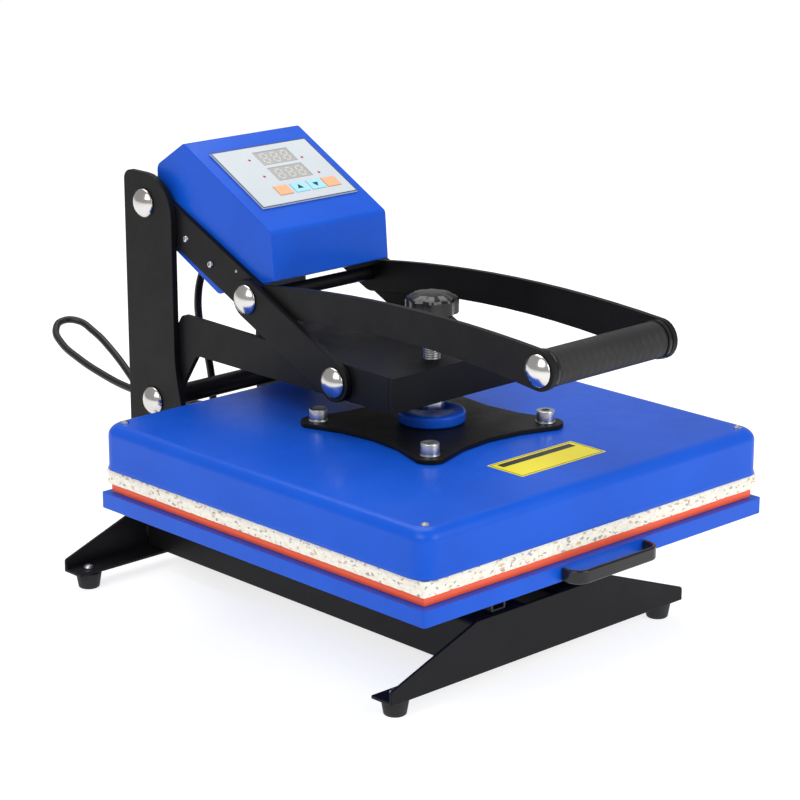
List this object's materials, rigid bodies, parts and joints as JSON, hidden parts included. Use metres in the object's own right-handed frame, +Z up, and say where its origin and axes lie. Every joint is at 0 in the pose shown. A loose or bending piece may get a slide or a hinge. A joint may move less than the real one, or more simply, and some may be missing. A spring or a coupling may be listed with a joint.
{
  "type": "clamshell heat press",
  "caption": "Clamshell heat press: a lever linkage lowers a square heated head onto a padded slide-out lower platen, with a pressure screw and a control box.",
  "frame": {"origin": "on the bench, under the middle of the machine without its cable", "axes": "+Z up, the operator stands on the -Y side, +X is to the right of someone who looks along +Y from the operator's place"},
  "size_m": [0.393, 0.7437, 0.391],
  "materials": {
    "blue_paint": "glossy powder coat with a fine texture",
    "black_paint": "satin powder coat",
    "chrome": "bright polished plating",
    "plain_steel": "turned and drawn steel",
    "cast_aluminium": "cast aluminium",
    "rubber_black": "matte rubber",
    "orange_silicone": "satin silicone sheet",
    "wool_felt": "pressed felt of mixed fibres",
    "glass_wool": "insulating board",
    "black_plastic": "glossy moulded plastic",
    "panel_film": "printed film",
    "key_blue": "printed film",
    "key_orange": "printed film"
  },
  "bodies": {
    "base": {"front_leg": "black_paint", "rear_leg": "black_paint", "left_rail": "black_paint", "right_rail": "black_paint", "front_left_foot": "rubber_black", "front_right_foot": "rubber_black", "rear_left_foot": "rubber_black", "rear_right_foot": "rubber_black", "left_upright": "black_paint", "right_upright": "black_paint", "rear_tie_plate": "black_paint", "left_lever_pivot_pin": "chrome", "right_lever_pivot_pin": "chrome", "arm_pivot_rod": "chrome", "left_runner": "plain_steel", "right_runner": "plain_steel", "cable_clip": "black_plastic", "control_lead": "rubber_black", "head_lead": "rubber_black"},
    "drawer": {"lower_platen": "blue_paint", "silicone_pad": "orange_silicone", "felt_pad": "wool_felt", "drawer_handle": "black_plastic", "left_slider": "plain_steel", "right_slider": "plain_steel"},
    "arm": {"left_arm_plate": "black_paint", "right_arm_plate": "black_paint", "arm_block": "black_paint", "arm_spacer_tube": "black_paint"},
    "lever": {"left_lever_plate": "black_paint", "right_lever_plate": "black_paint", "lever_link_rod": "chrome", "grip_bar": "chrome", "grip_sleeve": "rubber_black", "control_box": "blue_paint", "control_box_base": "blue_paint", "control_panel": "panel_film", "control_board": "black_plastic", "mains_inlet": "black_plastic", "box_gland": "black_plastic"},
    "links": {"left_link": "black_paint", "right_link": "black_paint", "left_arm_link_pin": "chrome", "right_arm_link_pin": "chrome"},
    "head": {"pressure_disc": "blue_paint", "spider_plate": "black_paint", "head_cover": "blue_paint", "heat_platen": "cast_aluminium", "insulation": "glass_wool", "head_gland": "black_plastic"},
    "screw": {"pressure_screw": "plain_steel", "pressure_knob": "black_plastic"},
    "set_key": {"set_key": "key_orange"},
    "down_key": {"down_key": "key_blue"},
    "up_key": {"up_key": "key_blue"},
    "start_key": {"start_key": "key_orange"},
    "power_switch": {"power_switch": "black_plastic"}
  },
  "joints": [
    {"name": "arm_hinge", "type": "hinge", "parent": "base", "child": "arm", "pos_m": [0, 0.2282, 0.1562], "axis": [-1, 0, 0], "range_deg": [0, 46.8], "deforming": ["head_lead"]},
    {"name": "lever_hinge", "type": "hinge", "parent": "base", "child": "lever", "pos_m": [0, 0.2342, 0.3348], "axis": [-1, 0, 0], "range_deg": [0, 94], "deforming": ["control_lead"]},
    {"name": "link_pivot", "type": "hinge", "parent": "lever", "child": "links", "pos_m": [0, 0.09838, 0.27232], "axis": [1, 0, 0], "range_deg": [0, 124.5]},
    {"name": "head_travel", "type": "slide", "parent": "arm", "child": "head", "axis": [0, 0, 1], "range_m": [0, 0.005]},
    {"name": "knob_turn", "type": "hinge", "parent": "head", "child": "screw", "pos_m": [0, -0.048, 0.24], "axis": [0, 0, 1], "range_deg": [0, 900.5]},
    {"name": "drawer_slide", "type": "slide", "parent": "base", "child": "drawer", "axis": [0, -1, 0], "range_m": [0, 0.22]},
    {"name": "power_switch_rock", "type": "hinge", "parent": "lever", "child": "power_switch", "pos_m": [-0.025, 0.2293, 0.337], "axis": [1, 0, 0], "range_deg": [-5, 5]},
    {"name": "set_key_press", "type": "slide", "parent": "lever", "child": "set_key", "axis": [0, 0.4669, -0.8843], "range_m": [0, 0.0003], "stiffness_N_per_m": 600},
    {"name": "down_key_press", "type": "slide", "parent": "lever", "child": "down_key", "axis": [0, 0.4669, -0.8843], "range_m": [0, 0.0003], "stiffness_N_per_m": 600},
    {"name": "up_key_press", "type": "slide", "parent": "lever", "child": "up_key", "axis": [0, 0.4669, -0.8843], "range_m": [0, 0.0003], "stiffness_N_per_m": 600},
    {"name": "start_key_press", "type": "slide", "parent": "lever", "child": "start_key", "axis": [0, 0.4669, -0.8843], "range_m": [0, 0.0003], "stiffness_N_per_m": 600}
  ],
  "couplings": [
    {"joint": "lever_hinge", "follows": "arm_hinge", "ratio": 2.0056},
    {"joint": "link_pivot", "follows": "arm_hinge", "ratio": 2.6571},
    {"joint": "knob_turn", "follows": "head_travel", "rad_per_m": 3141.6}
  ]
}
